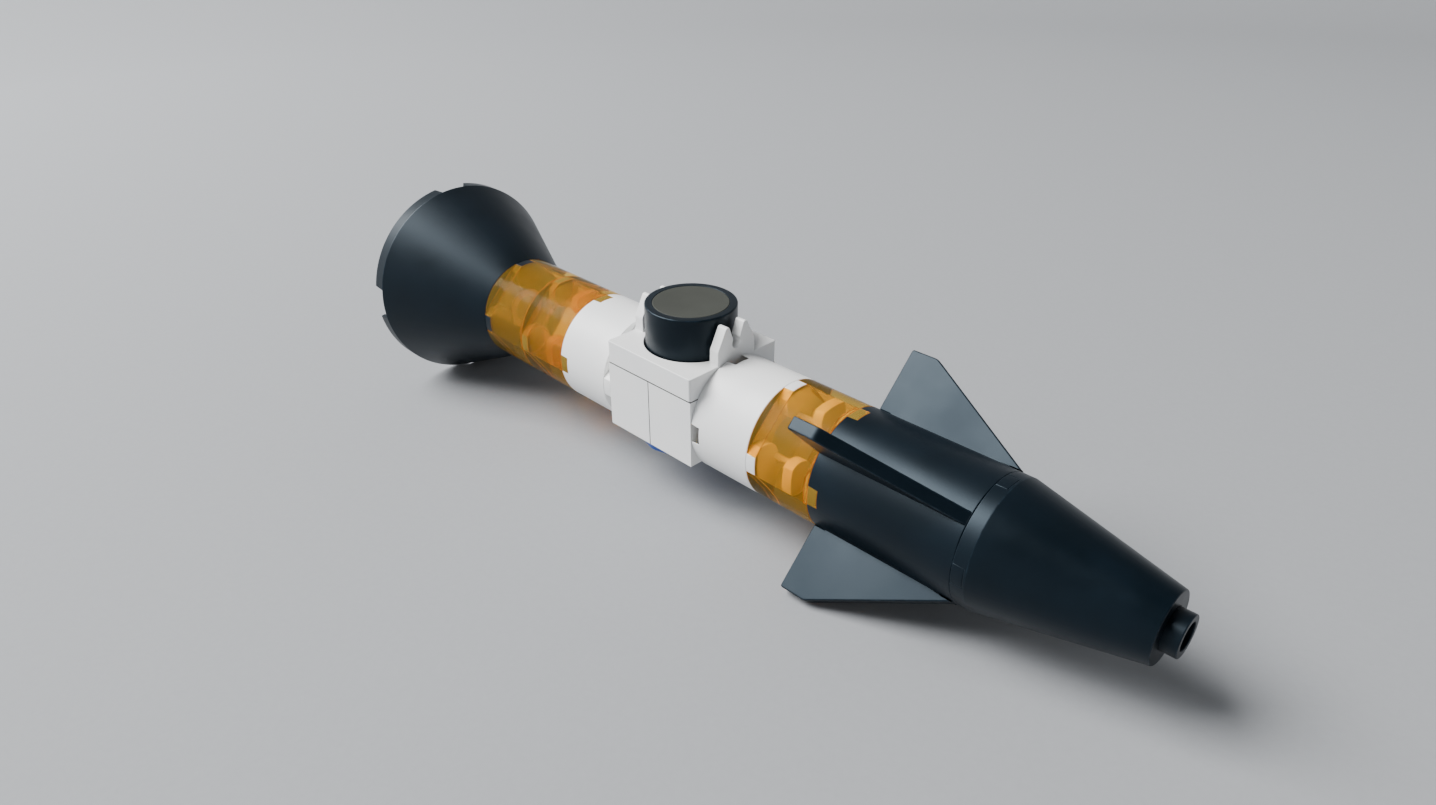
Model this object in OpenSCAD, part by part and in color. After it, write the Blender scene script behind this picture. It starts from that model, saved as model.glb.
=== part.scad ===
// Model rocket built from plug-together bays, with a square payload box in the middle.
// It lies along X with its nose towards +X and the payload box's lid facing +Z (up).
// The origin is on the body axis, half way between the tail rim and the nose tube's mouth.

/* [Body tube] */
// Outer diameter of the body bays
body_d = 60; // [60:0.5:60.5]
// Length of one bay, without its pins
bay_len = 36.5; // [34:0.5:44]
// Thickness of the bay's outer wall at its thinnest
wall = 1.8; // [1.6:0.1:2.2]
// Thickness of the plate that closes a section's front end
end_plate = 3; // [2.5:0.5:4]
// Diameter of the hole through each front plate
core_d = 24; // [20:0.5:24]

/* [Section joints] */
// Length of a pin's head, which is also the depth of the socket it fills
pin_head_len = 5.5; // [5:0.1:6]
// Diameter of a pin's head and of its guide disc
pin_head_d = 17.2; // [16.4:0.1:17.2]
// Distance from the body axis to a pin head's axis
pin_pitch_r = 21.8; // [21.4:0.1:22]
// Width across flats of the square socket, as a part of the diameter
socket_part = 0.812; // [0.81:0.001:0.815]
// Gap around a pin in its socket
pin_fit = 0.15; // [0.1:0.05:0.2]
// Diameter of the stub that fastens a pin, and of its stem
stub_d = 3; // [2.6:0.1:3]
// Distance from the body axis to the stub's axis
stub_pitch_r = 14.5; // [14.4:0.1:14.6]
// Length of stem between a pin's head and its guide disc
stem_len = 15; // [12:0.5:15]

/* [Tail flare] */
// Diameter of the flare's rim
flare_d = 120; // [110:1:124]
// Length of the flare
flare_len = 73.5; // [68:0.5:80]
// Length of the straight rim, and depth of the four gaps in it
rim_len = 8; // [6:0.5:9]
// Width of each of the four gaps in the rim
rim_gap_w = 19.4; // [16:0.2:24]
// Thickness of the wall of the flare and the nose
shell_wall = 2.4; // [2:0.1:3]

/* [Motor mount] */
// Outer diameter of the motor that fits, a standard size
motor_d = 18.2; // [18.2:0.1:18.4]
// Thickness of the motor tube's wall
motor_wall = 1.4; // [1.2:0.1:1.6]
// Length of the motor tube, behind its stop ring
motor_tube_len = 44; // [40:1:48]
// Length of the collar that holds the tube, behind the flare's front plate
collar_grip = 12; // [8:1:16]
// Length of the ring that stops the motor
stop_len = 5; // [4:0.5:6]

/* [Payload box] */
// Length of each side of the box, seen from above
box_side = 60; // [60:0.5:60.5]
// Height of the lid's top above the body axis
lid_top = 28.6; // [28.4:0.1:29]
// Thickness of the lid
lid_h = 12.4; // [12:0.1:12.6]
// Height of the whole box
box_h = 48.3; // [48:0.1:48.4]
// Diameter of the round well for the canister
well_d = 48; // [48:0.1:48.2]
// Width of the shadow gap along the box's seams
seam_w = 0.5; // [0.3:0.1:0.8]
// Depth of the shadow gap
seam_depth = 1; // [0.6:0.1:1.2]

/* [Canister] */
// Diameter of the payload canister
canister_d = 46.4; // [46:0.1:47]
// Height of the canister above the lid
canister_rise = 21.4; // [20:0.2:24]
// Diameter of the grey disc on top
disc_d = 38.4; // [37:0.2:39]
// Thickness of the grey disc
disc_h = 3; // [2.5:0.5:3.5]
// Thickness of the canister's wall and floor
canister_wall = 2.4; // [2.2:0.1:2.6]

/* [Clips on the lid] */
// Width of a clip at its foot, across the body
clip_w = 25.4; // [24:0.2:26]
// Thickness of a clip, along the body
clip_t = 5.7; // [5:0.1:5.8]
// Height of the clip's straight sides
clip_shoulder = 7.4; // [7:0.2:8]
// Height of the clip's tips
clip_h = 18.4; // [18:0.2:19]
// Diameter of the round seat
clip_seat_d = 6; // [5.8:0.1:6.2]
// Height of the seat's axis above the lid
clip_seat_h = 9; // [8.8:0.1:9.4]
// How far the clips stand off the box's centre line
clip_shift = 1.5; // [0:0.5:2]

/* [Base cap] */
// Width of the twelve-sided cap across its corners
cap_d = 58; // [56:0.5:58]
// Thickness of the cap below the box
cap_h = 4.2; // [3.6:0.2:5]

/* [Fin section and nose] */
// Length of the fin section
fin_can_len = 73; // [70:1:78]
// Distance from the body axis to a fin's tip
fin_span_r = 61.5; // [56:0.5:66]
// Length of a fin's tip
fin_tip_len = 13.5; // [10:0.5:18]
// Thickness of a fin
fin_t = 6; // [5:0.2:6]
// Length of the nose, with its straight collar
nose_len = 73.5; // [68:0.5:80]
// Length of the nose's straight collar
collar_len = 6.5; // [6:0.5:8]
// Diameter of the nose's cut-off end
nose_tip_d = 31; // [28:0.5:34]
// Outer diameter of the nose tube
tube_d = 18; // [17:0.2:18.4]
// Bore of the nose tube
tube_bore_d = 12; // [10:0.5:13]
// How far the nose tube stands out of the nose
tube_out = 6.5; // [5:0.5:10]

/* [Hidden] */
$fn = 96;

body_r = body_d / 2;
flare_r = flare_d / 2;
bore_r = body_r - wall;
socket_half = socket_part * body_r;
flat_half = 24;                 // inner flats of a bay, at 45 degrees, from the axis
cut = 1;                        // how far a cut runs past the face it opens
sink = 0.01;                    // how far neighbouring shapes run into each other
skin = 0.15;                    // assembly gap between neighbouring solids

total_len = flare_len + 5 * bay_len + pin_head_len + box_side + fin_can_len + nose_len + tube_out;
flare_x = -total_len / 2;
amber_rear_x = flare_x + flare_len;
amber_mid_x = amber_rear_x + bay_len;
white_rear_x = amber_mid_x + bay_len;
box_rear_x = white_rear_x + bay_len + pin_head_len;
box_x = box_rear_x + box_side / 2;
white_front_x = box_rear_x + box_side;
amber_front_x = white_front_x + bay_len;
fin_can_x = amber_front_x + bay_len;
nose_x = fin_can_x + fin_can_len;
nose_end_x = nose_x + nose_len;

box_bottom = lid_top - box_h;
lid_bottom = lid_top - lid_h;
cap_bottom = box_bottom - cap_h;

// The base cap's plug, its two lugs, and the groove they turn in
plug_fit = 0.1;
plug_r = well_d / 2 - plug_fit;
plug_h = 7;
lug_reach = 1.9;
lug_r = plug_r + lug_reach;
lug_h = 2.2;
lug_rise = 3;
groove_gap = 0.3;
lug_w = 12;
lug_slot_w = lug_w + 1;

// Screws and dowels
screw_r = 1.5;
screw_head_r = 2.6;
screw_head_h = 3;
screw_fit = 0.1;                // round a lid screw's shank in the box
screw_head_fit = 0.2;           // round its head
screw_key_r = 1.4;              // hexagon socket in its head
screw_key_depth = 1.6;
screw_corner = box_side / 2 - 4;
screw_grip = 8;                 // length of a lid screw inside the lid
dowel_r = 1.5;
dowel_len = 12;
dowel_z = -2;
bay_screw_r = 1;
bay_screw_head_r = 1.9;
bay_screw_head_h = 2;
bay_screw_y = 22.1;
bay_screw_z = 13.85;
bay_screw_grip = 5;             // length of a bay screw inside the bay
bay_screw_wall = 3;             // box wall that a bay screw clamps
bay_screw_pocket_r = 2.2;
pocket_depth = 22;              // reaches from the well to the box's front face

well_gap = 0.3;                 // canister foot above the cap's plug
canister_foot = box_bottom + plug_h + well_gap;
canister_top = lid_top + canister_rise;
foot_bevel = 1;
rim_bevel = 0.6;
seat_gap = 0.1;                 // round the grey disc in the canister's rim
seat_ledge = 1.8;               // width of the ledge under the grey disc
seat_ledge_h = 2;

// Fins
fin_slot_depth = 6;
fin_tab_margin = 6;

// Tubes held in the flare and the nose
tube_fit = 0.05;                // radial gap round either tube
stop_bore_r = 6.6;
collar_wall = 2.2;
motor_tube_r = motor_d / 2 + motor_wall;
tube_grip = 22;                 // length of nose tube inside the nose
tube_ledge = 1;                 // how much wider the nose is inside than its tube

// Puts its children's +Z along the body, starting at station x
module along_body(x) {
  translate([x, 0, 0]) rotate([0, 90, 0]) children();
}

// Repeats its children at the four joint positions, r from the axis
module at_four(r) {
  for (a = [0:90:270]) rotate(a) translate([r, 0, 0]) children();
}

module turned_square(half) {
  rotate(45) square(2 * half, center = true);
}

// The square socket at a section's rear end, whose corners break out through the wall
module socket_cut(half) {
  translate([0, 0, -cut]) linear_extrude(pin_head_len + cut) turned_square(half);
}

// Holes for the pins' stubs, from z up through a plate
module stub_holes(z, h) {
  translate([0, 0, z]) at_four(stub_pitch_r) cylinder(h = h, d = stub_d);
}

// A bay: round outside, flats inside at 45 degrees, socket behind and plate in front
module bay(x, len) {
  along_body(x) difference() {
    cylinder(h = len, r = body_r);
    socket_cut(socket_half);
    translate([0, 0, pin_head_len - cut]) linear_extrude(len - pin_head_len - end_plate + cut)
      intersection() {
        circle(bore_r);
        turned_square(flat_half);
      }
    cylinder(h = len + cut, d = core_d);
    stub_holes(len - end_plate - cut, end_plate + 2 * cut);
  }
}

// One pin head: round towards the axis, and a corner that fills the socket's corner
module pin_head() {
  linear_extrude(pin_head_len) intersection() {
    circle(body_r);
    turned_square(socket_half - pin_fit);
    union() {
      translate([pin_pitch_r, 0]) circle(d = pin_head_d);
      translate([pin_pitch_r, -pin_head_d / 2]) square([pin_head_d, pin_head_d]);
    }
  }
}

// One guide disc, trimmed to slide inside the next bay
module guide_disc() {
  linear_extrude(pin_head_len) intersection() {
    circle(bore_r - pin_fit);
    translate([pin_pitch_r, 0]) circle(d = pin_head_d);
    turned_square(flat_half - pin_fit);
  }
}

// Four pins whose heads start at station x; long pins carry a guide disc on a stem
module pins(x, long, front_stub) {
  along_body(x) for (a = [0:90:270]) rotate(a) {
    pin_head();
    translate([stub_pitch_r, 0, -end_plate]) cylinder(h = end_plate + cut, d = stub_d);
    if (front_stub) translate([stub_pitch_r, 0, 0]) cylinder(h = pin_head_len + end_plate, d = stub_d);
    if (long) {
      translate([stub_pitch_r, 0, 0]) cylinder(h = pin_head_len + stem_len + cut, d = stub_d);
      translate([0, 0, pin_head_len + stem_len]) guide_disc();
    }
  }
}

// The flare's thin cone, straight rim with four gaps, and front plate
module flare_shell() {
  cone_len = flare_len - rim_len;
  difference() {
    union() {
      cylinder(h = rim_len, r = flare_r);
      translate([0, 0, rim_len]) cylinder(h = cone_len, r1 = flare_r, r2 = body_r);
    }
    translate([0, 0, -cut]) cylinder(h = rim_len + 2 * cut, r = flare_r - shell_wall);
    translate([0, 0, rim_len])
      cylinder(h = cone_len - end_plate, r1 = flare_r - shell_wall, r2 = body_r - shell_wall);
    for (a = [0:90:270]) rotate(a)
      translate([flare_r / 2, -rim_gap_w / 2, -cut]) cube([flare_r, rim_gap_w, rim_len + cut]);
  }
}

module flare_skirt() {
  black() along_body(flare_x) difference() {
    union() {
      flare_shell();
      translate([0, 0, flare_len - end_plate - collar_grip])
        cylinder(h = collar_grip + cut, r = motor_tube_r + collar_wall);
    }
    cylinder(h = flare_len + cut, r = motor_tube_r);
    stub_holes(flare_len - end_plate - cut, end_plate + 2 * cut);
  }
}

module motor_tube() {
  color([0.72, 0.6, 0.42]) along_body(amber_rear_x - stop_len - motor_tube_len) difference() {
    cylinder(h = motor_tube_len, r = motor_tube_r - tube_fit);
    translate([0, 0, -cut]) cylinder(h = motor_tube_len + 2 * cut, d = motor_d);
  }
}

module motor_stop() {
  color([0.6, 0.48, 0.32]) along_body(amber_rear_x - stop_len) difference() {
    cylinder(h = stop_len, r = motor_tube_r - tube_fit);
    translate([0, 0, -cut]) cylinder(h = stop_len + 2 * cut, r = stop_bore_r);
  }
}

module amber() { color([0.85, 0.52, 0.12, 0.6]) children(); }
module white() { color([0.95, 0.95, 0.95]) children(); }
module black() { color([0.03, 0.07, 0.1]) children(); }
module steel() { color([0.6, 0.6, 0.62]) children(); }

module flare_pins() { black() pins(amber_rear_x, false, false); }
module bay_amber_rear() { amber() bay(amber_rear_x, bay_len); }
module pins_amber_rear() { amber() pins(amber_mid_x, true, false); }
module bay_amber_mid() { amber() bay(amber_mid_x, bay_len); }
module pins_amber_mid() { amber() pins(white_rear_x, true, false); }
module bay_white_rear() { white() bay(white_rear_x, bay_len); }
module pins_white_rear() { white() pins(box_rear_x - pin_head_len, false, true); }
module bay_white_front() {
  white() difference() {
    bay(white_front_x, bay_len);
    at_bay_screws() translate([0, 0, -cut]) cylinder(h = bay_screw_grip + cut, r = bay_screw_r);
  }
}
module pins_white_front() { white() pins(amber_front_x, true, false); }
module bay_amber_front() { amber() bay(amber_front_x, bay_len); }
module pins_amber_front() { amber() pins(fin_can_x, true, false); }
module nose_pins() { black() pins(nose_x, false, false); }

// Places of the four lid screws, seen from above
module at_screws() {
  for (sx = [-1, 1], sy = [-1, 1]) translate([box_x + sx * screw_corner, sy * screw_corner, 0]) children();
}

// Places of the four screws through the box's front wall, along the body
module at_bay_screws() {
  for (sy = [-1, 1], sz = [-1, 1])
    translate([white_front_x, sy * bay_screw_y, sz * bay_screw_z]) rotate([0, 90, 0]) children();
}

// The groove for the base cap's lugs, and entry slots a quarter turn away from them
module cap_groove() {
  r = lug_r + groove_gap;
  translate([box_x, 0, box_bottom]) {
    translate([0, 0, lug_rise - groove_gap]) cylinder(h = lug_h + 2 * groove_gap, r = r);
    intersection() {
      translate([0, 0, -cut]) cylinder(h = lug_rise + cut, r = r);
      cube([4 * r, lug_slot_w, 4 * lug_rise], center = true);
    }
  }
}

// The two dowels across the split, half way between the well and the box's sides
module dowels() {
  for (sy = [-1, 1]) translate([box_x - dowel_len / 2, sy * (well_d + box_side) / 4, dowel_z])
    rotate([0, 90, 0]) cylinder(h = dowel_len, r = dowel_r);
}

// Lower box with every cut, before it is split in two
module box_body() {
  difference() {
    translate([box_rear_x, -box_side / 2, box_bottom]) cube([box_side, box_side, lid_bottom - box_bottom]);
    translate([box_x, 0, box_bottom - cut]) cylinder(h = box_h, d = well_d);
    cap_groove();
    at_screws() {
      translate([0, 0, box_bottom - cut]) cylinder(h = box_h, r = screw_r + screw_fit);
      translate([0, 0, box_bottom - cut])
        cylinder(h = screw_head_h + cut, r = screw_head_r + screw_head_fit);
    }
    dowels();
    for (y = [-box_side / 2 - cut, box_side / 2 - seam_depth])
      translate([box_x - seam_w / 2, y, box_bottom - cut]) cube([seam_w, seam_depth + cut, box_h]);
    along_body(box_rear_x) stub_holes(-cut, cut + end_plate);
    at_bay_screws() translate([0, 0, -pocket_depth]) {
      cylinder(h = pocket_depth + cut, r = bay_screw_r);
      cylinder(h = pocket_depth - bay_screw_wall, r = bay_screw_pocket_r);
    }
  }
}

module box_rear_half() {
  white() intersection() {
    box_body();
    translate([box_x - box_side, -box_side, -box_side]) cube([box_side, 2 * box_side, 2 * box_side]);
  }
}

module box_front_half() {
  white() intersection() {
    box_body();
    translate([box_x, -box_side, -box_side]) cube([box_side, 2 * box_side, 2 * box_side]);
  }
}

// A clip's outline, seen along the body: shoulders, a flared mouth and a round seat
module clip_outline() {
  tip_out = 7;
  tip_in = 5;
  throat = 2.2;
  seat_r = clip_seat_d / 2;
  throat_h = clip_seat_h + sqrt(seat_r * seat_r - throat * throat);
  difference() {
    polygon([[-clip_w / 2, 0], [clip_w / 2, 0], [clip_w / 2, clip_shoulder], [tip_out, clip_h],
      [tip_in, clip_h], [throat, throat_h], [-throat, throat_h], [-tip_in, clip_h],
      [-tip_out, clip_h], [-clip_w / 2, clip_shoulder]]);
    translate([0, clip_seat_h]) circle(seat_r);
  }
}

// The shadow gap round the lid's lower edge
module lid_seam() {
  outer = box_side + 2 * cut;
  inner = box_side - 2 * seam_depth;
  translate([box_x, 0, lid_bottom]) difference() {
    cube([outer, outer, 2 * seam_w], center = true);
    cube([inner, inner, 4 * seam_w], center = true);
  }
}

module box_lid() {
  white() {
    difference() {
      translate([box_rear_x, -box_side / 2, lid_bottom]) cube([box_side, box_side, lid_h]);
      translate([box_x, 0, lid_bottom - cut]) cylinder(h = lid_h + 2 * cut, d = well_d);
      at_screws() translate([0, 0, lid_bottom - cut]) cylinder(h = screw_grip + cut, r = screw_r);
      lid_seam();
    }
    for (x = [box_rear_x, white_front_x - clip_t])
      translate([x, clip_shift, lid_top - sink])
        rotate([90, 0, 90]) linear_extrude(clip_t) clip_outline();
  }
}

module box_dowels() {
  steel() dowels();
}

module lid_screws() {
  shank = lid_bottom + screw_grip - box_bottom;
  steel() at_screws() translate([0, 0, box_bottom]) difference() {
    union() {
      cylinder(h = screw_head_h, r = screw_head_r);
      cylinder(h = shank, r = screw_r);
    }
    translate([0, 0, -cut]) cylinder(h = screw_key_depth + cut, r = screw_key_r, $fn = 6);
  }
}

module bay_screws() {
  steel() at_bay_screws() translate([0, 0, -bay_screw_wall - bay_screw_head_h]) {
    cylinder(h = bay_screw_head_h, r = bay_screw_head_r);
    cylinder(h = bay_screw_head_h + bay_screw_wall + bay_screw_grip, r = bay_screw_r);
  }
}

module payload_canister() {
  outer_r = canister_d / 2;
  inner_r = outer_r - canister_wall;
  seat_r = disc_d / 2 + seat_gap;
  h = canister_top - canister_foot;
  seat_h = h - disc_h;
  ledge_r = seat_r - seat_ledge;
  ledge_h = seat_h - seat_ledge_h;
  black() translate([box_x, 0, canister_foot]) rotate_extrude() polygon([
    [0, 0], [outer_r - foot_bevel, 0], [outer_r, foot_bevel],
    [outer_r, h - rim_bevel], [outer_r - rim_bevel, h], [seat_r, h], [seat_r, seat_h],
    [ledge_r, seat_h], [ledge_r, ledge_h], [inner_r, ledge_h - (inner_r - ledge_r)],
    [inner_r, canister_wall], [0, canister_wall]]);
}

module canister_disc() {
  bevel = 0.4;
  color([0.39, 0.4, 0.38]) translate([box_x, 0, canister_top - disc_h]) rotate_extrude() polygon([
    [0, 0], [disc_d / 2, 0], [disc_d / 2, disc_h - bevel], [disc_d / 2 - bevel, disc_h], [0, disc_h]]);
}

// Twelve-sided cap under the box, with a round plug and two lugs that lock it
module base_cap() {
  hollow_r = 15;
  bevel = 1.2;
  color([0, 0.24, 0.55]) translate([box_x, 0, 0]) difference() {
    union() {
      translate([0, 0, cap_bottom + bevel]) cylinder(h = cap_h - bevel - skin, d = cap_d, $fn = 12);
      translate([0, 0, cap_bottom]) cylinder(h = bevel, d1 = cap_d - 2 * bevel, d2 = cap_d, $fn = 12);
      translate([0, 0, box_bottom - 2 * skin]) cylinder(h = plug_h + 2 * skin, r = plug_r);
      translate([0, 0, box_bottom + lug_rise]) intersection() {
        cylinder(h = lug_h, r = lug_r);
        cube([lug_w, 3 * lug_r, 3 * lug_h], center = true);
      }
    }
    translate([0, 0, cap_bottom + cap_h]) cylinder(h = plug_h + cut, r = hollow_r);
  }
}

// The fin section: like a bay, with a slot along each diagonal for a fin's root
module fin_can() {
  black() difference() {
    bay(fin_can_x, fin_can_len);
    for (a = [45:90:315]) rotate([a, 0, 0])
      translate([fin_can_x + fin_tab_margin, body_r - fin_slot_depth, -fin_t / 2])
        cube([fin_can_len - 2 * fin_tab_margin, body_r, fin_t]);
  }
}

// One fin: root tab in the slot, square trailing edge behind, sloped leading edge ahead
module fin(angle) {
  rear = fin_can_x;
  front = fin_can_x + fin_can_len;
  tab_rear = rear + fin_tab_margin;
  tab_front = front - fin_tab_margin;
  tab_r = body_r - fin_slot_depth;
  black() rotate([angle, 0, 0]) translate([0, 0, -fin_t / 2]) linear_extrude(fin_t) polygon([
    [tab_rear, tab_r], [tab_front, tab_r], [tab_front, body_r], [front, body_r],
    [rear + fin_tip_len, fin_span_r], [rear, fin_span_r], [rear, body_r], [tab_rear, body_r]]);
}

module fin_upper_left() { fin(45); }
module fin_upper_right() { fin(135); }
module fin_lower_right() { fin(225); }
module fin_lower_left() { fin(315); }

// Cut-off nose with a straight collar, a socket behind and a thick tip that holds the tube
module nose_cone() {
  tip_wall = 8;
  cone_len = nose_len - collar_len;
  tube_r = tube_d / 2;
  black() along_body(nose_x) difference() {
    union() {
      cylinder(h = collar_len, r = body_r);
      translate([0, 0, collar_len]) cylinder(h = cone_len, r1 = body_r, r2 = nose_tip_d / 2);
    }
    socket_cut(socket_half);
    translate([0, 0, pin_head_len - sink])
      cylinder(h = nose_len - pin_head_len - tip_wall, r1 = body_r - shell_wall, r2 = tube_r + tube_ledge);
    cylinder(h = nose_len + cut, r = tube_r + tube_fit);
  }
}

module nose_tube() {
  len = tube_out + tube_grip;
  bevel = 0.4;
  black() along_body(nose_end_x + tube_out - len) rotate_extrude() polygon([
    [tube_bore_d / 2, 0], [tube_d / 2, 0], [tube_d / 2, len - bevel],
    [tube_d / 2 - bevel, len], [tube_bore_d / 2, len]]);
}

flare_skirt();
motor_tube();
motor_stop();
flare_pins();
bay_amber_rear();
pins_amber_rear();
bay_amber_mid();
pins_amber_mid();
bay_white_rear();
pins_white_rear();
box_rear_half();
box_front_half();
box_lid();
box_dowels();
lid_screws();
bay_screws();
payload_canister();
canister_disc();
base_cap();
bay_white_front();
pins_white_front();
bay_amber_front();
pins_amber_front();
fin_can();
fin_upper_left();
fin_upper_right();
fin_lower_left();
fin_lower_right();
nose_pins();
nose_cone();
nose_tube();
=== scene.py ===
import bmesh
import bpy
import numpy as np
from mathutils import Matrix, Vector


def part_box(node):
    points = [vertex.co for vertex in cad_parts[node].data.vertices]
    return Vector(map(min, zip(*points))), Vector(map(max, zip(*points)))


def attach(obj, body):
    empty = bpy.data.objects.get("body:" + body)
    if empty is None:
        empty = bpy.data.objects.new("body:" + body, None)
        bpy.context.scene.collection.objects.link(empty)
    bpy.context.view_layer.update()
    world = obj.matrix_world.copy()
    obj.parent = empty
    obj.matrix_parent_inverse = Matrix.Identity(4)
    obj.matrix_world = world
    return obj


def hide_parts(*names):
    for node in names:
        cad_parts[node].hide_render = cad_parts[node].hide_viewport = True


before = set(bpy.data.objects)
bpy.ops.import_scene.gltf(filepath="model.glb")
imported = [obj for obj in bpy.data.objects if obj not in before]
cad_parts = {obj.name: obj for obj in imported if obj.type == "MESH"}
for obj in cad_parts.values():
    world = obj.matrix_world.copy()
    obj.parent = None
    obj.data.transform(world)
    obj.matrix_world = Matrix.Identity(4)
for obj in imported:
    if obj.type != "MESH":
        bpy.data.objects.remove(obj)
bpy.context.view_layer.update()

# ---------------------------------------------------------------- sizes, in metres
MM = 0.001
BODY_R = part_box("bay_amber_rear")[1].y   # outside of every bay
BORE_R = BODY_R - 1.8 * MM               # round part of a bay's inside
FLAT = 24 * MM                           # flats inside a bay, at 45 degrees
SOCKET = 0.812 * BODY_R                  # flats of the square socket at a section's rear end
PLATE = 3 * MM                           # plate across a section's front end
CORE_R = 12 * MM                         # hole through that plate
PIN_LEN = 5.5 * MM                       # pin head, and depth of its socket
PIN_R = 8.6 * MM                         # pin head and guide disc
PIN_AT = 21.8 * MM                       # their distance from the body's axis
PIN_FIT = 0.15 * MM
STUB_R = 1.5 * MM                        # stem between a pin head and its guide disc
STUB_AT = 14.5 * MM
STEM = 15 * MM
SHELL = 2.4 * MM                         # wall of the flare and the nose
GAP_HALF = np.degrees(np.arcsin(9.7 / 60))  # half the angle that each notch takes
WELL_R = 24 * MM                         # round well in the payload box
BOX_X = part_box("canister_disc")[0].x / 2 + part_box("canister_disc")[1].x / 2
SEAM_W = 0.5 * MM                        # shadow gap round the lid's lower edge
SEAM_DEEP = 1 * MM
RIM_LEN = 8 * MM                         # straight rim at the flare's open end
COLLAR_LEN = 12 * MM                     # collar behind the flare's plate, round the motor tube
COLLAR_WALL = 2.2 * MM
TUBE_FIT = 0.05 * MM                     # room round a tube in its hole
MOTOR_R = 9.1 * MM                       # inside of the motor tube
STOP_R = 6.6 * MM                        # hole through the ring that stops the motor
FIN_REACH = 61.5 * MM                    # from the body's axis to a fin's end
FIN_TIP = 13.5 * MM                      # length of a fin's end
FIN_TAB = 6 * MM                         # depth of a fin's tab, and its distance from both ends of the root
FIN_HALF = 3 * MM                        # half a fin's thickness
ROOT_SINK = 0.2 * MM                     # how far a fin's root sits inside the body's round outside
NOSE_END_R = 15.5 * MM                   # small end of the nose
NOSE_STRAIGHT = 6.5 * MM                 # straight part at the nose's wide end
NOSE_GRIP = 8 * MM                       # length of the hole that holds the nose tube
NOSE_BORE_R = 6 * MM
CAN_RISE = 21.4 * MM                     # how far the can stands out of the lid
CLIP_LEN = 5.7 * MM                      # clips on the lid, along the body
CLIP_AT = 1.5 * MM                       # their middle, off the body's axis
CLIP_SEAT_R = 3 * MM                     # round seat in a clip, its height and half the gap into it
CLIP_SEAT_H = 9 * MM
CLIP_GAP = 2.2 * MM
CLIP_FOOT = 12.7 * MM                    # half width at the foot, height of the shoulder and height over all
CLIP_SHOULDER = 7.4 * MM
CLIP_TOP = 18.4 * MM
CAP_R = 29 * MM                          # corners of the cap's edge
PLUG_R = 23.9 * MM                       # plug on the cap, its hollow, and the lugs on it
PLUG_HOLLOW_R = 15 * MM
LUG_R = 25.8 * MM
LUG_HALF = 6 * MM
CAP_H = 4.2 * MM                         # cap below the box
LUG_UP = 3 * MM                          # lugs' underside above the box's
LUG_H = 1.65 * MM
EDGE_STEPS = 4                           # faces across a rounded edge


# ---------------------------------------------------------------- shapes
def rounded(corners, radii):
    """Rounds the corners of closed outlines, all at once.

    Each corner is cut back along both its sides by its radius, or by at most 0.45 of the side,
    and a quadratic curve pulled towards the corner joins the two cuts. The second result is 1 in
    the middle of each rounded edge and 0 at its ends.
    """
    corners = corners if corners.ndim == 3 else corners[None]
    sides = [np.roll(corners, turn, axis=1) - corners for turn in (1, -1)]
    lengths = [np.linalg.norm(side, axis=-1, keepdims=True) for side in sides]
    cut = np.asarray(radii, float)[None, :, None]
    ends = [corners + side * np.minimum(0.45, cut / np.maximum(length, 1e-9))
            for side, length in zip(sides, lengths)]
    t = np.linspace(0, 1, EDGE_STEPS + 1)[None, None, :, None]
    curve = ((1 - t) ** 2 * ends[0][:, :, None] + 2 * t * (1 - t) * corners[:, :, None]
             + t ** 2 * ends[1][:, :, None])
    rim = np.broadcast_to((4 * t * (1 - t))[..., 0], curve.shape[:-1])
    return curve.reshape(len(corners), -1, 2), rim.reshape(len(corners), -1)


def turned(stations, distances, turn, radii, upright=False):
    """A section carried round an axis: a grid of points, and how far each is on a rounded edge.

    At angle a, a point at station s and distance r from the axis lies at (s, r cos a, r sin a)
    round the body's axis or, upright, at (r cos a, r sin a, s) round the payload box's axis. The
    stations and distances may differ from angle to angle, which makes notches, flats and squares.
    """
    flat = [np.broadcast_to(np.asarray(v, float), turn.shape) for v in (*stations, *distances)]
    half = len(stations)
    section, rim = rounded(np.stack([np.stack(flat[:half], 1), np.stack(flat[half:], 1)], -1), radii)
    s, r = section[..., 0], section[..., 1]
    c, n = np.cos(turn)[:, None], np.sin(turn)[:, None]
    grid = np.stack([BOX_X + r * c, r * n, s] if upright else [s, r * c, r * n], -1)
    return grid, rim


def drawn_in(outline):
    """A function that gives the outline, a ring of points, drawn in along its own normals by each inset."""
    along = np.roll(outline, -1, axis=0) - np.roll(outline, 1, axis=0)
    normal = np.stack([along[:, 1], -along[:, 0]], 1)
    normal /= np.maximum(np.linalg.norm(normal, axis=1, keepdims=True), 1e-12)
    x, y = outline.T
    normal *= np.sign(np.sum(x * np.roll(y, -1) - y * np.roll(x, -1)))
    return lambda inset: outline[None] - normal[None] * inset[..., None]


def slab(outline, low, high, radius, place):
    """A flat plate with its edge rounded over: an outline repeated at levels through its thickness.

    At angle a round the edge the outline is drawn in by the radius times one less the sine of a,
    at a height of the radius times one less the cosine of a from the face. place() puts an outline
    point and its level into the frame.
    """
    angle = np.linspace(0, np.pi / 2, EDGE_STEPS + 1)
    rise = np.concatenate([low + radius * (1 - np.cos(angle)), high - radius * (1 - np.cos(angle[::-1]))])
    inset = np.concatenate([radius * (1 - np.sin(angle)), radius * (1 - np.sin(angle[::-1]))])
    rim = np.concatenate([np.sin(2 * angle), np.sin(2 * angle[::-1])])
    flat = outline(inset[:, None])
    level = np.broadcast_to(rise[:, None], flat.shape[:2])
    return place(flat[..., 0], flat[..., 1], level), np.broadcast_to(rim[:, None], level.shape)


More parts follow.
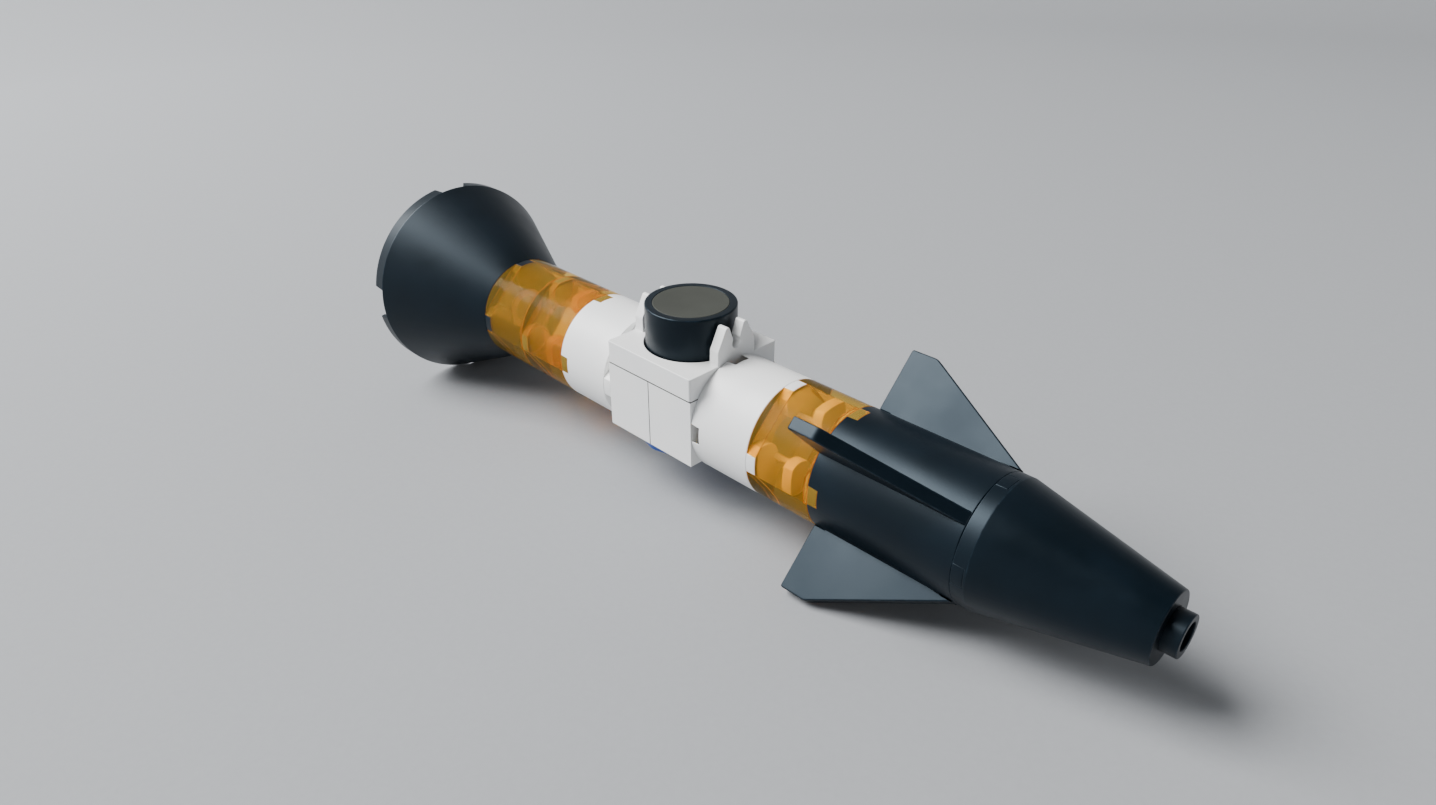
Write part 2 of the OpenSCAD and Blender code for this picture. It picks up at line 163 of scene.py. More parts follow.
def piece(name, grids, material, body, nodes, closed=True):
    """Makes one object from grids of points, parents it to the body it rides on, and hides the CAD nodes it
    replaces.

    A turned grid closes on itself both ways. A slab's grid closes one way only, and its first and
    last rows are filled as faces.
    """
    points, rims, faces, start = [], [], [], 0
    for (grid, rim), wraps in zip(grids, closed if isinstance(closed, list) else [closed] * len(grids)):
        rows, cols = grid.shape[:2]
        index = start + np.arange(rows * cols).reshape(rows, cols)
        j, k = np.meshgrid(np.arange(rows if wraps else rows - 1), np.arange(cols), indexing="ij")
        j1, k1 = (j + 1) % rows, (k + 1) % cols
        faces += np.stack([index[j, k], index[j1, k], index[j1, k1], index[j, k1]], -1).reshape(-1, 4).tolist()
        if not wraps:
            faces += [index[0].tolist(), index[-1][::-1].tolist()]
        points.append(grid.reshape(-1, 3))
        rims.append(rim.reshape(-1))
        start += rows * cols
    mesh = bpy.data.meshes.new(name)
    mesh.from_pydata(np.concatenate(points), [], faces)
    mesh.attributes.new("rim", "FLOAT", "POINT").data.foreach_set("value", np.concatenate(rims).astype(np.float32))
    work = bmesh.new()
    work.from_mesh(mesh)
    bmesh.ops.remove_doubles(work, verts=work.verts, dist=2e-6)
    bmesh.ops.dissolve_degenerate(work, edges=work.edges, dist=2e-6)
    bmesh.ops.recalc_face_normals(work, faces=work.faces)
    work.to_mesh(mesh)
    work.free()
    mesh.shade_smooth()
    mesh.set_sharp_from_angle(angle=np.radians(50))
    mesh.materials.append(material)
    made = bpy.data.objects.new(name, mesh)
    bpy.context.scene.collection.objects.link(made)
    weigh = made.modifiers.new("even_normals", "WEIGHTED_NORMAL")
    weigh.keep_sharp = True
    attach(made, body)
    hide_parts(*nodes)
    return made


# ---------------------------------------------------------------- materials
SPAN = ("From Min", "From Max", "To Min", "To Max")  # sockets of a node that remaps a value


def linear(hexes):
    """An sRGB hex colour as the linear red, green, blue and alpha that Blender wants."""
    rgb = np.array([int(hexes[i:i + 2], 16) for i in (0, 2, 4)]) / 255
    return (*np.where(rgb <= 0.04045, rgb / 12.92, ((rgb + 0.055) / 1.055) ** 2.4), 1.0)


def add(tree, kind, settings=None, links=None, **attributes):
    """Adds a node: attributes set on the node, settings on its inputs, and links from other nodes' outputs."""
    made = tree.nodes.new(kind)
    for key, value in attributes.items():
        setattr(made, key, value)
    for key, value in (settings or {}).items():
        made.inputs[key].default_value = value
    for key, source in (links or {}).items():
        tree.links.new(source, made.inputs[key])
    return made


def blank(name, **sockets):
    """A material with a bare shader, the constant settings of which are set on its own sockets."""
    made = bpy.data.materials.new(name)
    made.use_nodes = True
    tree = made.node_tree
    shader = tree.nodes["Principled BSDF"]
    for key, value in sockets.items():
        shader.inputs[key.replace("_", " ")].default_value = value
    return made, tree, shader


def moulded(name, colour, mottle, worn, roughness, grain_mm=0.55, grain_depth=0.00003, wear=0.6, seams=None,
            **sockets):
    """Injection-moulded plastic: a spark-eroded grain, slow cloudiness in the gloss, and rubbed, paler edges.

    Seams says where a narrow gap is painted darker, as painted shade: an axis, the gap's middle and half its
    width.
    """
    made, tree, shader = blank(name, **sockets)
    place = add(tree, "ShaderNodeTexCoord").outputs["Object"]
    cloud = add(tree, "ShaderNodeTexNoise", {"Scale": 1 / 0.035, "Detail": 4.0}, {"Vector": place}).outputs["Fac"]
    grain = add(tree, "ShaderNodeTexNoise", {"Scale": 1 / (grain_mm * MM), "Detail": 2.0},
                {"Vector": place}).outputs["Fac"]
    rubs = add(tree, "ShaderNodeTexNoise", {"Scale": 1 / 0.004, "Detail": 5.0, "Roughness": 0.7},
               {"Vector": place}).outputs["Fac"]
    edge = add(tree, "ShaderNodeAttribute", attribute_name="rim").outputs["Fac"]
    patches = add(tree, "ShaderNodeMapRange", dict(zip(SPAN, (0.42, 0.66, 0.0, wear))), {"Value": rubs})
    rubbed = add(tree, "ShaderNodeMath", {}, {0: edge, 1: patches.outputs["Result"]}, operation="MULTIPLY")
    drift = add(tree, "ShaderNodeMapRange", dict(zip(SPAN, (0.35, 0.65, 0.0, 1.0))), {"Value": cloud})
    body = add(tree, "ShaderNodeMix", {6: linear(colour), 7: linear(mottle)}, {0: drift.outputs["Result"]},
               data_type="RGBA")
    edged = add(tree, "ShaderNodeMix", {7: linear(worn)}, {0: rubbed.outputs[0], 6: body.outputs[2]},
                data_type="RGBA")
    if seams:
        axes = add(tree, "ShaderNodeSeparateXYZ", {}, {0: place}).outputs
        marks = [add(tree, "ShaderNodeMath", {1: middle, 2: half}, {0: axes[axis]}, operation="COMPARE")
                 for axis, (middle, half) in seams.items()]
        painted_seam_shade = add(tree, "ShaderNodeMath", {0: 0.0, 1: 0.0},
                    {i: mark.outputs[0] for i, mark in enumerate(marks)}, operation="MAXIMUM").outputs[0]
        # Painted shade: the seams' narrow bands are painted dark grey, where shade falls in the gaps
        edged = add(tree, "ShaderNodeMix", {7: linear("4c4c4a")}, {0: painted_seam_shade, 6: edged.outputs[2]},
                    data_type="RGBA")
    tree.links.new(edged.outputs[2], shader.inputs["Base Color"])
    gloss = add(tree, "ShaderNodeMapRange", dict(zip(SPAN, (0.3, 0.7, roughness - 0.05, roughness + 0.07))),
                {"Value": cloud})
    tree.links.new(gloss.outputs["Result"], shader.inputs["Roughness"])
    bump = add(tree, "ShaderNodeBump", {"Strength": 0.35, "Distance": grain_depth}, {"Height": grain})
    tree.links.new(bump.outputs["Normal"], shader.inputs["Normal"])
    return made


# Black ABS with a blue cast: nearly black in shade, with one broad soft highlight
black_abs = moulded("moulded_black_abs", "020a11", "030e17", "22303b", 0.38, IOR=1.54,
                    Specular_IOR_Level=0.28, Specular_Tint=linear("c6dcec"))
# White ABS: clean and satin, so its edges read by their shine and not by dirt
white_abs = moulded("moulded_white_abs", "f1f1ef", "eceded", "fbfbfa", 0.42, wear=0.3, IOR=1.54)
# The same white on the payload box, with painted shade in the gap under its lid and in the split between its
# halves
lid_gap = {"Z": (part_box("box_lid")[0].z + SEAM_W / 2, SEAM_W / 2 + 0.02 * MM)}
split = {"X": (BOX_X, SEAM_W / 2 + 0.02 * MM)}
lid_abs = moulded("moulded_white_lid_abs", "f1f1ef", "eceded", "fbfbfa", 0.42, wear=0.3, seams=lid_gap, IOR=1.54)
box_abs = moulded("moulded_white_box_abs", "f1f1ef", "eceded", "fbfbfa", 0.42, wear=0.3,
                  seams={**lid_gap, **split}, IOR=1.54)
# Blue ABS, the same moulding with a stronger colour
blue_abs = moulded("moulded_blue_abs", "0a3f93", "08377f", "5f8fd0", 0.38, IOR=1.54)
# Grey elastomer: matt, warm and slightly powdery
grey_pad = moulded("moulded_grey_rubber", "3a3c37", "343631", "50524c", 0.72, grain_mm=0.8,
                   grain_depth=0.00006, wear=0.4, IOR=1.5, Specular_IOR_Level=0.25)


def cast_amber(name, clear):
    """Amber acrylic: tinted all through, so it is deeper where more of it lies behind, with a polished skin."""
    made, tree, shader = blank(name, IOR=1.07, Specular_IOR_Level=0.1)
    place = add(tree, "ShaderNodeTexCoord").outputs["Object"]
    swirl = add(tree, "ShaderNodeTexNoise", {"Scale": 1 / 0.03, "Detail": 3.0, "Distortion": 0.6},
                {"Vector": place}).outputs["Fac"]
    edge = add(tree, "ShaderNodeAttribute", attribute_name="rim").outputs["Fac"]
    drift = add(tree, "ShaderNodeMapRange", dict(zip(SPAN, (0.3, 0.7, 0.0, 1.0))), {"Value": swirl})
    depth = add(tree, "ShaderNodeMix", {6: linear("ffd362"), 7: linear("fdc852")}, {0: drift.outputs["Result"]},
                data_type="RGBA")
    # Painted edge light: rounded edges are painted a deeper orange and made less clear, as if they caught the
    # light
    painted_edge_light = add(tree, "ShaderNodeMix", {7: linear("f7902c")}, {0: edge, 6: depth.outputs[2]}, data_type="RGBA")
    tree.links.new(painted_edge_light.outputs[2], shader.inputs["Base Color"])
    through = add(tree, "ShaderNodeMapRange", dict(zip(SPAN, (0.0, 1.0, clear, clear - 0.35))), {"Value": edge})
    tree.links.new(through.outputs["Result"], shader.inputs["Transmission Weight"])
    gloss = add(tree, "ShaderNodeMapRange", dict(zip(SPAN, (0.3, 0.7, 0.015, 0.04))), {"Value": swirl})
    tree.links.new(gloss.outputs["Result"], shader.inputs["Roughness"])
    ripple = add(tree, "ShaderNodeTexNoise", {"Scale": 1 / 0.006, "Detail": 1.0}, {"Vector": place}).outputs["Fac"]
    bump = add(tree, "ShaderNodeBump", {"Strength": 0.05, "Distance": 0.00002}, {"Height": ripple})
    tree.links.new(bump.outputs["Normal"], shader.inputs["Normal"])
    return made


def wound_kraft():
    """Spiral-wound kraft tube: brown paper with fibres, and the butt seams of a 38 mm strip running round it."""
    made, tree, shader = blank("wound_kraft_paper", Roughness=0.85, IOR=1.45)
    place = add(tree, "ShaderNodeTexCoord").outputs["Object"]
    axes = add(tree, "ShaderNodeSeparateXYZ", {}, {0: place}).outputs
    angle = add(tree, "ShaderNodeMath", {}, {0: axes["Z"], 1: axes["Y"]}, operation="ARCTAN2").outputs["Value"]
    turns = add(tree, "ShaderNodeMath", {1: 1 / (2 * np.pi)}, {0: angle}, operation="MULTIPLY").outputs["Value"]
    strips = add(tree, "ShaderNodeMath", {1: 1 / 0.038}, {0: axes["X"]}, operation="MULTIPLY").outputs["Value"]
    wound = add(tree, "ShaderNodeMath", {}, {0: turns, 1: strips}, operation="ADD").outputs["Value"]
    part = add(tree, "ShaderNodeMath", {}, {0: wound}, operation="FRACT").outputs["Value"]
    seam = add(tree, "ShaderNodeMapRange", dict(zip(SPAN, (0.0, 0.03, 1.0, 0.0))),
               {"Value": part}).outputs["Result"]
    fibre = add(tree, "ShaderNodeMapping", {"Scale": (1 / 0.004, 1 / 0.0006, 1 / 0.0006)}, {"Vector": place})
    fibres = add(tree, "ShaderNodeTexNoise", {"Scale": 1.0, "Detail": 5.0},
                 {"Vector": fibre.outputs[0]}).outputs["Fac"]
    paper = add(tree, "ShaderNodeMix", {6: linear("a9855a"), 7: linear("8a683f")}, {0: fibres}, data_type="RGBA")
    lined = add(tree, "ShaderNodeMix", {7: linear("5d452a")}, {0: seam, 6: paper.outputs[2]}, data_type="RGBA")
    tree.links.new(lined.outputs[2], shader.inputs["Base Color"])
    bump = add(tree, "ShaderNodeBump", {"Strength": 0.4, "Distance": 0.00005}, {"Height": fibres})
    tree.links.new(bump.outputs["Normal"], shader.inputs["Normal"])
    return made


def turned_steel():
    """Plain screw steel: turned bright, with fine marks round each head."""
    made, tree, shader = blank("turned_steel", Metallic=1.0)
    place = add(tree, "ShaderNodeTexCoord").outputs["Object"]
    marks = add(tree, "ShaderNodeTexNoise", {"Scale": 1 / 0.0004, "Detail": 3.0}, {"Vector": place}).outputs["Fac"]
    tone = add(tree, "ShaderNodeMix", {6: linear("a6a8aa"), 7: linear("8f9194")}, {0: marks}, data_type="RGBA")
    tree.links.new(tone.outputs[2], shader.inputs["Base Color"])
    gloss = add(tree, "ShaderNodeMapRange", dict(zip(SPAN, (0.3, 0.7, 0.25, 0.42))), {"Value": marks})
    tree.links.new(gloss.outputs["Result"], shader.inputs["Roughness"])
    bump = add(tree, "ShaderNodeBump", {"Strength": 0.25, "Distance": 0.00002}, {"Height": marks})
    tree.links.new(bump.outputs["Normal"], shader.inputs["Normal"])
    return made


# Amber acrylic cast as clear shells, and its pins and discs, which hold a little more light
amber = cast_amber("cast_amber_acrylic", 0.92)
amber_pin = cast_amber("cast_amber_pins", 0.78)
kraft = wound_kraft()
steel = turned_steel()

# ---------------------------------------------------------------- angles round the body
DEG = np.pi / 180
QUARTER = np.arange(4) * 90.0


def around(*extra):
    """Angles for one turn: every 2 degrees, and closer round the notches and where flats meet the bore."""
    near = np.concatenate([GAP_HALF + np.linspace(-0.45, 0.45, 7), *[np.atleast_1d(e) for e in extra]])
    fine = (QUARTER[:, None, None] + np.stack([near, -near])[None]).ravel()
    return np.unique(np.round(np.concatenate([np.arange(0, 360, 2.0), fine]) % 360, 3)) * DEG


def to_quarter(turn):
    """Angle in degrees from the nearest of top, bottom and the two sides."""
    return np.abs((turn / DEG + 45) % 90 - 45)


def notch(turn):
    """1 inside the four notches and 0 outside, with a smooth step less than a degree wide."""
    t = np.clip((GAP_HALF + 0.4 - to_quarter(turn)) / 0.8, 0, 1)
    return t * t * (3 - 2 * t)


def diagonal_flat(turn, half):
    """Distance from the axis to the sides of a square turned by 45 degrees."""
    return half / np.cos((45 - to_quarter(turn)) * DEG)


def socket_radius(turn):
    return np.minimum(diagonal_flat(turn, SOCKET), BODY_R - 0.35 * MM)


# ---------------------------------------------------------------- sections of the body
def bay(name, material):
    """Round outside, flats and round inside, a notched square socket behind and a pierced plate in front."""
    low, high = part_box(name)
    turn = around(45 - np.degrees(np.arccos(FLAT / BORE_R)))
    inner = np.minimum(diagonal_flat(turn, FLAT), BORE_R)
    socket = socket_radius(turn)
    rear = low.x + PIN_LEN * notch(turn)
    step = np.maximum(low.x + PIN_LEN, rear)
    stations = [high.x, high.x, high.x - PLATE, high.x - PLATE, step, step, rear, rear]
    distances = [BODY_R, CORE_R, CORE_R, inner, inner, socket, socket, BODY_R]
    radii = np.array([0.5, 0.3, 0.3, 0.8, 0.15, 0.15, 0.25, 0.45]) * MM
    return piece(name + "_moulding", [turned(stations, distances, turn, radii)], material, "airframe",
                 [name])


def pin_outline(disc):
    """A function that gives a pin head's or guide disc's outline, drawn in by each inset.

    In every direction from the pin's middle its edge is the nearest of the body's round outside,
    the flats at 45 degrees, and the pin's own edge, which is round towards the body's axis and, on
    a head, square away from it. The inset comes off each of these, so the edge stays parallel.
    """
    whole_turn = 2 * np.pi
    way = np.unique(np.concatenate([np.linspace(0, whole_turn, 145)[:-1],
                                    np.linspace(-0.6, 0.6, 61) % whole_turn]))
    c, n = np.cos(way), np.sin(way)
    limit = BORE_R - PIN_FIT if disc else BODY_R
    half = (FLAT if disc else SOCKET) - PIN_FIT

    def outline(inset):
        outside = -PIN_AT * c + np.sqrt((PIN_AT * c) ** 2 - PIN_AT ** 2 + (limit - inset) ** 2)
        to_flat = (half - inset) * np.sqrt(2) - PIN_AT
        flats = [np.where(c + s * n > 1e-6, to_flat / np.maximum(c + s * n, 1e-6), 1) for s in (1, -1)]
        own = np.where((c > 0) & (not disc), (PIN_R - inset) / np.maximum(np.abs(n), 0.05), PIN_R - inset)
        reach = np.minimum.reduce([outside, flats[0], flats[1], own])
        return np.stack([PIN_AT + reach * c, reach * n], -1)
    return outline


def round_outline(middle, radius, count=24):
    """A function that gives a circle off the axis, drawn in by each inset."""
    way = np.arange(count) * 2 * np.pi / count
    return lambda inset: np.stack([middle + (radius - inset) * np.cos(way), (radius - inset) * np.sin(way)], -1)


def pins(name, material, heads_at, guided):
    """Four pins: a head in each notch and, on the long ones, a guide disc on a stem."""
    low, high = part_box(name)
    grids = []
    for angle in QUARTER * DEG:
        c, n = np.cos(angle), np.sin(angle)

        def place(out, across, level, c=c, n=n):
            return np.stack([level, out * c - across * n, out * n + across * c], -1)
        grids.append(slab(pin_outline(False), heads_at, heads_at + PIN_LEN, 0.4 * MM, place))
        grids.append(slab(round_outline(STUB_AT, STUB_R), low.x, max(heads_at + MM, high.x - MM), 0.2 * MM, place))
        if guided:
            grids.append(slab(pin_outline(True), heads_at + PIN_LEN + STEM, high.x, 0.4 * MM, place))
    return piece(name + "_moulding", grids, material, "airframe", [name], closed=False)


BAYS = {"bay_amber_rear": amber, "bay_amber_mid": amber, "bay_white_rear": white_abs,
        "bay_white_front": white_abs, "bay_amber_front": amber}
for node, finish in BAYS.items():
    bay(node, finish)

PINS = {"flare_pins": (black_abs, "flare_skirt", False), "pins_amber_rear": (amber_pin, "bay_amber_rear", True),
        "pins_amber_mid": (amber_pin, "bay_amber_mid", True),
        "pins_white_rear": (white_abs, "bay_white_rear", False),
        "pins_white_front": (white_abs, "bay_white_front", True),
        "pins_amber_front": (amber_pin, "bay_amber_front", True), "nose_pins": (black_abs, "fin_can", False)}
for node, (finish, behind, guided) in PINS.items():
    pins(node, finish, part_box(behind)[1].x, guided)


def flare():
    """A thin cone with a straight rim that four gaps divide; a collar and a plate in front hold the motor tube."""
    low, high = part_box("flare_skirt")
    wide, rim = high.y, low.x + RIM_LEN
    turn = around()
    rear = low.x + (RIM_LEN - 0.02 * MM) * notch(turn)
    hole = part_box("motor_tube")[1].y + TUBE_FIT
    collar, plate = high.x - PLATE - COLLAR_LEN, high.x - PLATE
    stations = [high.x, high.x, collar, collar, plate, plate, rim, rear, rear, rim]
    distances = [BODY_R, hole, hole, hole + COLLAR_WALL, hole + COLLAR_WALL, BODY_R - SHELL, wide - SHELL,
                 wide - SHELL, wide, wide]
    radii = np.array([0.5, 0.2, 0.3, 0.6, 0.8, 1.2, 0.6, 0.4, 0.35, 0.35]) * MM
    piece("flare_skirt_moulding", [turned(stations, distances, turn, radii)], black_abs, "airframe",
          ["flare_skirt"])


def fin_section():
    bay("fin_can", black_abs)
    low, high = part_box("fin_can")
    tip_end, root, tab = low.x + FIN_TIP, BODY_R - ROOT_SINK, BODY_R - FIN_TAB
    corners = np.array([[low.x + FIN_TAB, tab], [high.x - FIN_TAB, tab], [high.x - FIN_TAB, root], [high.x, root],
                        [tip_end, FIN_REACH], [low.x, FIN_REACH], [low.x, root], [low.x + FIN_TAB, root]])
    outline = drawn_in(rounded(corners, np.array([0.8, 0.8, 0.1, 0.9, 1.4, 1.2, 0.9, 0.1]) * MM)[0][0])
    for name, turn in {"fin_upper_left": 45, "fin_upper_right": 135, "fin_lower_right": 225,
                       "fin_lower_left": 315}.items():
        c, n = np.cos(turn * DEG), np.sin(turn * DEG)

        def place(along, out, level, c=c, n=n):
            return np.stack([along, out * c - level * n, out * n + level * c], -1)
        piece(name + "_moulding", [slab(outline, -FIN_HALF, FIN_HALF, 0.7 * MM, place)], black_abs, "airframe",
              [name], closed=False)


def nose():
    """A cut-off cone with a straight notched collar behind, and the tube that stands out of its end."""
    low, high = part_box("nose_cone")
    turn = around()
    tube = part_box("nose_tube")
    bore = tube[1].y + TUBE_FIT
    socket = socket_radius(turn)
    rear = low.x + PIN_LEN * notch(turn)
    step = np.maximum(low.x + PIN_LEN, rear)
    inside = high.x - NOSE_GRIP
    stations = [high.x, high.x, inside, inside, step, step, rear, rear, low.x + NOSE_STRAIGHT]
    distances = [NOSE_END_R, bore, bore, bore + MM, BODY_R - SHELL, socket, socket, BODY_R, BODY_R]
    radii = np.array([0.6, 0.3, 0.3, 0.5, 0.15, 0.15, 0.25, 0.45, 0.3]) * MM
    piece("nose_cone_moulding", [turned(stations, distances, turn, radii)], black_abs, "nose",
          ["nose_cone"])
    ring("nose_tube", NOSE_BORE_R, 0.5 * MM, black_abs, "nose")


def ring(name, inner, radius, material, body):
    """A plain tube along the body: a rectangle with rounded corners carried round the axis."""
    low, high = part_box(name)
    turn = np.arange(0, 360, 3.0) * DEG
    grid = turned([high.x, high.x, low.x, low.x], [high.y, inner, inner, high.y], turn, [radius] * 4)
    piece(name + "_part", [grid], material, body, [name])


flare()
fin_section()
nose()
ring("motor_tube", MOTOR_R, 0.2 * MM, kraft, "airframe")
ring("motor_stop", STOP_R, 0.2 * MM, kraft, "airframe")

# ---------------------------------------------------------------- payload box

def square_angles(sides, fine=0.6):
    """Angles for one turn of a shape with that many corners, closer together round each corner."""
    corner = (np.arange(sides) + 0.5) * 360 / sides
    near = (corner[:, None] + np.linspace(-2.4, 2.4, 9)[None] * fine).ravel()
    return np.unique(np.round(np.concatenate([np.arange(0, 360, 3.0), near]) % 360, 3)) * DEG


def many_sided(turn, sides, half, soft):
    """Distance to the sides of a regular shape, with its corners softened.

    It is half the width across the sides divided by the cosine of the angle from the nearest
    side's middle, and a smooth least of that and a circle just inside the corners takes their
    points off.
    """
    part = 360 / sides
    off = (turn / DEG + part / 2) % part - part / 2
    side = half / np.cos(off * DEG)
    circle = half / np.cos(part / 2 * DEG) - soft
    blend = 0.4 * soft
    low = np.minimum(side, circle)
    return low - blend * np.exp(-np.abs(side - circle) / blend) * 0.35


def lid():
    """A thick square lid with a round well through it, and a clip with a round seat at its front and rear edge."""
    low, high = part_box("box_lid")
    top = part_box("payload_canister")[1].z - CAN_RISE
    turn = square_angles(4)
    side = many_sided(turn, 4, high.y, 0.5 * MM)
    seam, deep = low.z + SEAM_W, side - SEAM_DEEP
    body = turned([top, top, low.z, low.z, seam, seam], [side, WELL_R, WELL_R, deep, deep, side], turn,
                  np.array([0.5, 0.6, 0.3, 0.1, 0.1, 0.2]) * MM, upright=True)
    open_at = np.arcsin(CLIP_GAP / CLIP_SEAT_R)
    sweep = np.concatenate([[open_at], np.linspace(open_at + 0.4, 2 * np.pi - open_at - 0.4, 27),
                            [2 * np.pi - open_at]])
    arc = np.stack([CLIP_SEAT_R * np.sin(sweep), CLIP_SEAT_H + CLIP_SEAT_R * np.cos(sweep)], 1)
    right = np.array([[CLIP_FOOT, -0.6 * MM], [CLIP_FOOT, CLIP_SHOULDER], [7 * MM, CLIP_TOP], [5 * MM, CLIP_TOP]])
    left = right[::-1] * [-1, 1]
    soft = [0.5, 0.9, 0.8, 0.8]
    corners = np.concatenate([right, arc, left])
    radii = np.array(soft + [0.6] + [0.02] * (len(arc) - 2) + [0.6] + soft[::-1]) * MM
    outline = drawn_in(rounded(corners, radii)[0][0])
    grids = [body]
    for start in (low.x, high.x - CLIP_LEN):
        def place(across, up, level):
            return np.stack([level, across + CLIP_AT, up + top], -1)
        grids.append(slab(outline, start, start + CLIP_LEN, 0.3 * MM, place))
    piece("box_lid_moulding", grids, lid_abs, "airframe", ["box_lid"],
          closed=[True, False, False])


def canister():
    """A round can with a rounded rim, a recess for the grey disc, and a chamfered foot."""
    low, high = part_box("payload_canister")
    disc_low, disc_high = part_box("canister_disc")
    disc_r = disc_high.y
    turn = np.arange(0, 360, 2.0) * DEG
    wide = high.y
    seat = disc_r + 0.1 * MM
    stations = [low.z, low.z, high.z, high.z, disc_low.z, disc_low.z]
    distances = [0, wide, wide, seat, seat, 0]
    radii = np.array([0, 1.0, 0.9, 0.35, 0.2, 0]) * MM
    piece("payload_canister_moulding", [turned(stations, distances, turn, radii, upright=True)], black_abs,
          "canister", ["payload_canister"])
    under = disc_low.z + 0.05 * MM
    pad = turned([under, under, disc_high.z, disc_high.z], [0, disc_r, disc_r, 0], turn,
                 np.array([0, 0.2, 0.5, 0]) * MM, upright=True)
    piece("canister_disc_pad", [pad], grey_pad, "canister", ["canister_disc"])


def cap():
    """A twelve-sided cap with a bevelled edge, a hollow round plug and two lugs."""
    low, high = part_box("base_cap")
    box_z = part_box("box_rear_half")[0].z
    turn = square_angles(12, 0.5)
    flat_half = CAP_R * np.cos(15 * DEG)
    edge = many_sided(turn + 15 * DEG, 12, flat_half, 0.25 * MM)
    plug, hollow = PLUG_R, PLUG_HOLLOW_R
    lug = np.where(np.abs(LUG_R * np.cos(turn)) < LUG_HALF, LUG_R, plug)
    top = box_z - 0.15 * MM
    lug_low, lug_high = box_z + LUG_UP, box_z + LUG_UP + LUG_H
    floor_top = low.z + CAP_H
    stations = [low.z, low.z, top, top, lug_low, lug_low, lug_high, lug_high, high.z, high.z, floor_top, floor_top]
    distances = [0, edge, edge, plug, plug, lug, lug, plug, plug, hollow, hollow, 0]
    radii = np.array([0, 1.2, 0.3, 0.3, 0.2, 0.2, 0.2, 0.2, 0.6, 0.6, 0.6, 0]) * MM
    piece("base_cap_moulding", [turned(stations, distances, turn, radii, upright=True)], blue_abs, "cap",
          ["base_cap"])


lid()
canister()
cap()


def keep(node, material, radius):
    """A CAD piece whose shape is right: its material, and its sharp edges rounded over."""
    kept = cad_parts[node]
    kept.data.materials.clear()
    kept.data.materials.append(material)
    weld = kept.modifiers.new("weld", "WELD")
    weld.merge_threshold = 0.000002
    soften = kept.modifiers.new("soften", "BEVEL")
    soften.width, soften.segments, soften.limit_method = radius, 3, "ANGLE"
    soften.angle_limit = np.radians(40)
    weigh = kept.modifiers.new("even_normals", "WEIGHTED_NORMAL")
    weigh.keep_sharp = True


for node in ("box_rear_half", "box_front_half"):
    keep(node, box_abs, 0.2 * MM)
for node in ("box_dowels", "lid_screws", "bay_screws"):
    keep(node, steel, 0.15 * MM)

# ---------------------------------------------------------------- floor, light and camera
# The rocket rests on its flare's rim and its lower fin tips, so the floor slopes a little along it
rest_rear = Vector((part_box("flare_skirt")[0].x + RIM_LEN, 0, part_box("flare_skirt")[0].z))
rest_front = Vector((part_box("fin_can")[0].x + FIN_TIP, 0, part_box("fin_lower_right")[0].z))
slope = (rest_front.z - rest_rear.z) / (rest_front.x - rest_rear.x)


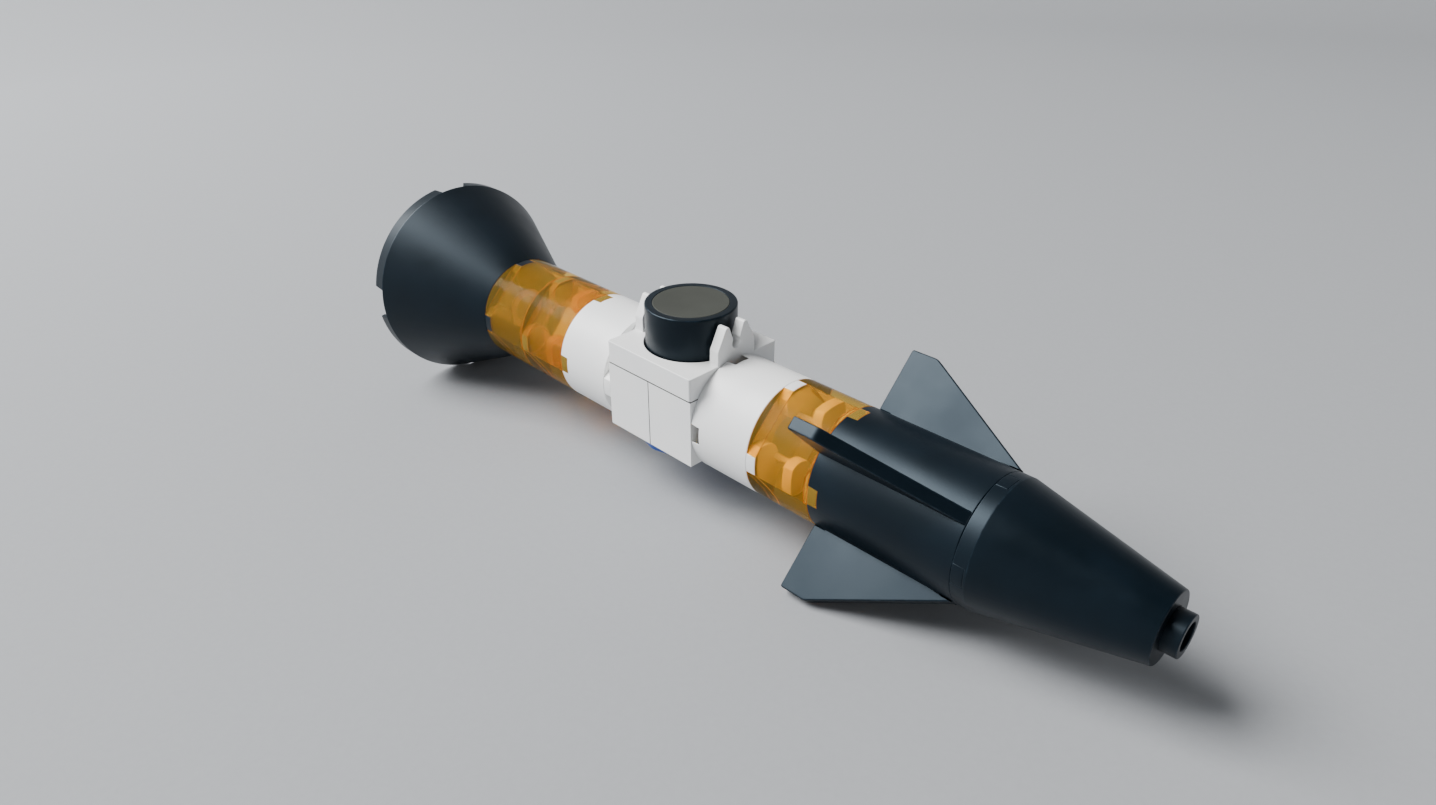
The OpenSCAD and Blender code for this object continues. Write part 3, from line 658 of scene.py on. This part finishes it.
def floor():
    """A sheet of pale card: flat near the rocket, and swept up all round far away, like a studio's backdrop.

    Its height above the sloped plane the rocket rests on is 0.35 times the square of how far its
    distance from the middle goes past 1.8 m.
    """
    level_out, just_under = 1.8, 0.0001
    turn = np.linspace(0, 2 * np.pi, 97)[:-1]
    reach = np.concatenate([np.linspace(0.05, level_out, 12), np.linspace(level_out + 0.05, 6, 60)])
    x, y = reach[:, None] * np.cos(turn), reach[:, None] * np.sin(turn)
    sweep = 0.35 * np.maximum(reach - level_out, 0)[:, None] ** 2
    grid = np.stack([x, y, rest_rear.z + (x - rest_rear.x) * slope - just_under + sweep], -1)
    rows, cols = grid.shape[:2]
    index = np.arange(rows * cols).reshape(rows, cols)
    after = np.roll(index, -1, axis=1)
    faces = np.stack([index[:-1], index[1:], after[1:], after[:-1]], -1).reshape(-1, 4).tolist()
    mesh = bpy.data.meshes.new("floor")
    mesh.from_pydata(grid.reshape(-1, 3), [], [*faces, index[0].tolist()])
    mesh.shade_smooth()
    made, tree, shader = blank("pale_card", Roughness=0.9, IOR=1.4)
    place = add(tree, "ShaderNodeTexCoord").outputs["Object"]
    fibre = add(tree, "ShaderNodeTexNoise", {"Scale": 1 / 0.003, "Detail": 4.0}, {"Vector": place}).outputs["Fac"]
    card = add(tree, "ShaderNodeMix", {6: linear("9b9da0"), 7: linear("96989b")}, {0: fibre}, data_type="RGBA")
    tree.links.new(card.outputs[2], shader.inputs["Base Color"])
    mesh.materials.append(made)
    sheet = bpy.data.objects.new("floor", mesh)
    bpy.context.scene.collection.objects.link(sheet)


def softbox(name, way, size, power, distance):
    """A square of light a set distance off in one direction, facing the rocket."""
    data = bpy.data.lights.new(name, "AREA")
    data.shape, data.size, data.energy = "SQUARE", size, power
    lamp = bpy.data.objects.new(name, data)
    way = Vector(way).normalized()
    lamp.location = way * distance
    lamp.rotation_euler = (-way).to_track_quat("-Z", "Y").to_euler()
    bpy.context.scene.collection.objects.link(lamp)


floor()
# One large main light from behind the tail's near side, a weak one overhead and a weaker one in front
softbox("key", (-0.56, -0.39, 0.73), 3.0, 540, 4.5)
softbox("over", (-0.3, 0.4, 1.0), 4.6, 22, 5.0)
softbox("fill", (0.6, -0.7, 0.35), 2.7, 4, 4.0)
world = bpy.data.worlds.new("studio")
world.use_nodes = True
world.node_tree.nodes["Background"].inputs["Color"].default_value = linear("f2f4f7")
world.node_tree.nodes["Background"].inputs["Strength"].default_value = 0.08
bpy.context.scene.world = world

# A wide lens close by, above the nose's near side
lens = bpy.data.cameras.new("camera")
lens.sensor_width, lens.lens = 36.0, 24.36
lens.clip_start = 0.01
camera = bpy.data.objects.new("camera", lens)
camera.location = (0.3006, -0.3018, 0.2468)
camera.rotation_euler = Vector((-0.6106, 0.6131, -0.5014)).to_track_quat("-Z", "Y").to_euler()
bpy.context.scene.collection.objects.link(camera)
bpy.context.scene.camera = camera
